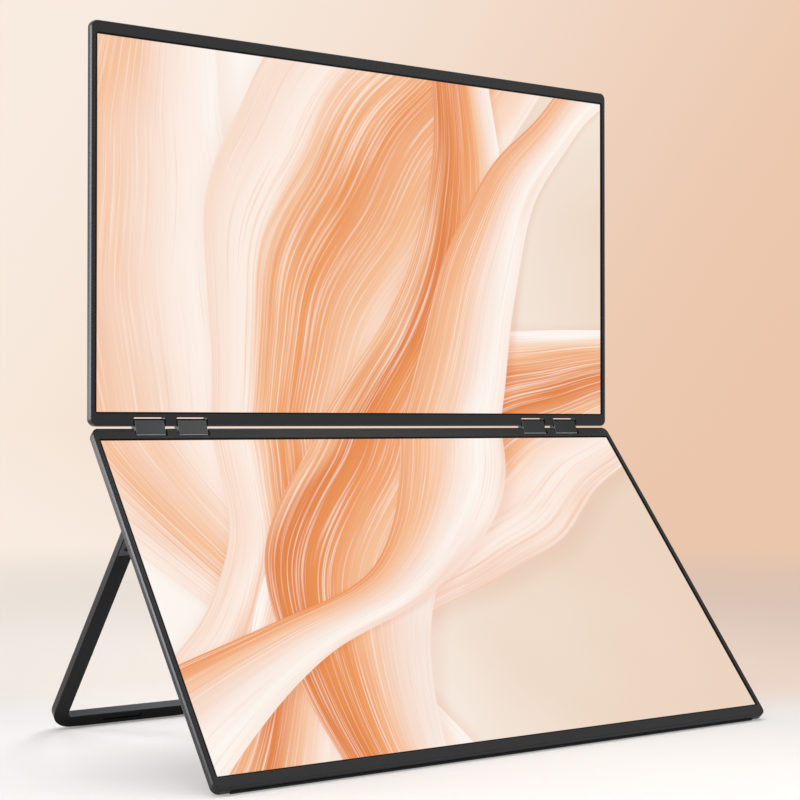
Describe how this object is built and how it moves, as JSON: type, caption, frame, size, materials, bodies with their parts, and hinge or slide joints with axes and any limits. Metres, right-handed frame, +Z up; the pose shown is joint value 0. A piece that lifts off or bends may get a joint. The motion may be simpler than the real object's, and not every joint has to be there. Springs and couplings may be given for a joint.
{
  "type": "dual stacked monitor",
  "caption": "Slim portable displays stacked one above the other on paired folding links, held up by a U-shaped folding stand behind the lower display.",
  "frame": {"origin": "on the floor, at the middle of the whole outline, seen from above", "axes": "+X to the viewer's right along the displays' width, +Y away from the viewer, +Z up"},
  "size_m": [0.348, 0.2016, 0.3731],
  "materials": {
    "cover_metal": "fine bead-blasted dark grey anodised",
    "bezel": "fine matt moulded",
    "screen": "lit picture behind glass",
    "film": "satin film",
    "light_guide": "clear acrylic",
    "lamps": "pale board with lamps",
    "tray_steel": "rolled sheet",
    "board": "solder mask",
    "flex": "polyimide film",
    "ribbon": "flat ribbon",
    "cable": "sleeved cable",
    "bracket_steel": "pressed sheet",
    "pin_steel": "ground",
    "screw_steel": "black oxide",
    "plain_steel": "zinc plated",
    "foot_rubber": "matt",
    "housing": "fine spark-eroded texture",
    "chips": "moulded",
    "copper": "rolled copper sheet",
    "socket_shell": "stamped sheet",
    "speaker": "moulded with a paper cone",
    "switch": "moulded",
    "button": "moulded",
    "link_metal": "cast and painted dark grey",
    "washer_steel": "ground",
    "slider_brass": "milled",
    "stand_metal": "dark grey anodised",
    "leaf_metal": "painted pressed sheet"
  },
  "bodies": {
    "lower_panel": {"lower_back_cover": "cover_metal", "lower_front_bezel": "bezel", "lower_screen_glass": "screen", "lower_film_stack": "film", "lower_light_guide": "light_guide", "lower_led_strip": "lamps", "lower_backlight_tray": "tray_steel", "lower_source_board": "board", "lower_source_flexes": "flex", "lower_display_ribbon": "ribbon", "lower_hinge_cable": "cable", "lower_hinge_brackets": "bracket_steel", "lower_hinge_pins": "pin_steel", "lower_hinge_screws": "screw_steel", "foot_strip": "foot_rubber", "rear_housing_cover": "housing", "main_board": "board", "board_parts": "chips", "heat_spreader": "copper", "board_screws": "plain_steel", "housing_screws": "screw_steel", "usb_c_sockets": "socket_shell", "hdmi_socket": "socket_shell", "speakers": "speaker", "push_switches": "switch", "stand_hinge_brackets": "bracket_steel", "stand_hinge_pins": "pin_steel", "stand_bracket_screws": "screw_steel"},
    "power_button": {"power_button": "button"},
    "plus_button": {"plus_button": "button"},
    "minus_button": {"minus_button": "button"},
    "hinge_links": {"hinge_link_bodies": "link_metal", "hinge_link_covers": "link_metal", "hinge_washers": "washer_steel"},
    "sync_sliders": {"hinge_sync_sliders": "slider_brass"},
    "upper_panel": {"upper_back_cover": "cover_metal", "upper_front_bezel": "bezel", "upper_screen_glass": "screen", "upper_film_stack": "film", "upper_light_guide": "light_guide", "upper_led_strip": "lamps", "upper_backlight_tray": "tray_steel", "upper_source_board": "board", "upper_source_flexes": "flex", "upper_display_ribbon": "ribbon", "upper_hinge_cable": "cable", "upper_bridge_board": "board", "upper_hinge_brackets": "bracket_steel", "upper_hinge_pins": "pin_steel", "upper_hinge_screws": "screw_steel"},
    "kickstand": {"stand_frame": "stand_metal", "stand_hinge_leaves": "leaf_metal", "stand_leaf_screws": "screw_steel", "stand_foot_pads": "foot_rubber", "stand_slot_pads": "foot_rubber"}
  },
  "joints": [
    {"name": "lower_fold", "type": "hinge", "parent": "lower_panel", "child": "hinge_links", "pos_m": [0, 0.03374, 0.15988], "axis": [1, 0, 0], "range_deg": [-65, 70]},
    {"name": "upper_fold", "type": "hinge", "parent": "hinge_links", "child": "upper_panel", "pos_m": [0, 0.03603, 0.16617], "axis": [1, 0, 0], "range_deg": [-65, 70]},
    {"name": "sync_slide", "type": "slide", "parent": "hinge_links", "child": "sync_sliders", "axis": [1, 0, 0], "range_m": [-0.0012, 0.0012]},
    {"name": "stand_swing", "type": "hinge", "parent": "lower_panel", "child": "kickstand", "pos_m": [0, 0.00151, 0.11369], "axis": [1, 0, 0], "range_deg": [-81, 0]},
    {"name": "power_press", "type": "slide", "parent": "lower_panel", "child": "power_button", "axis": [1, 0, 0], "range_m": [0, 0.0004], "stiffness_N_per_m": 1000, "springref_m": -0.0003},
    {"name": "plus_press", "type": "slide", "parent": "lower_panel", "child": "plus_button", "axis": [1, 0, 0], "range_m": [0, 0.0004], "stiffness_N_per_m": 1000, "springref_m": -0.0003},
    {"name": "minus_press", "type": "slide", "parent": "lower_panel", "child": "minus_button", "axis": [1, 0, 0], "range_m": [0, 0.0004], "stiffness_N_per_m": 1000, "springref_m": -0.0003}
  ],
  "couplings": [
    {"joint": "upper_fold", "follows": "lower_fold", "ratio": 1},
    {"joint": "sync_slide", "follows": "lower_fold", "m_per_rad": 0.00095}
  ]
}
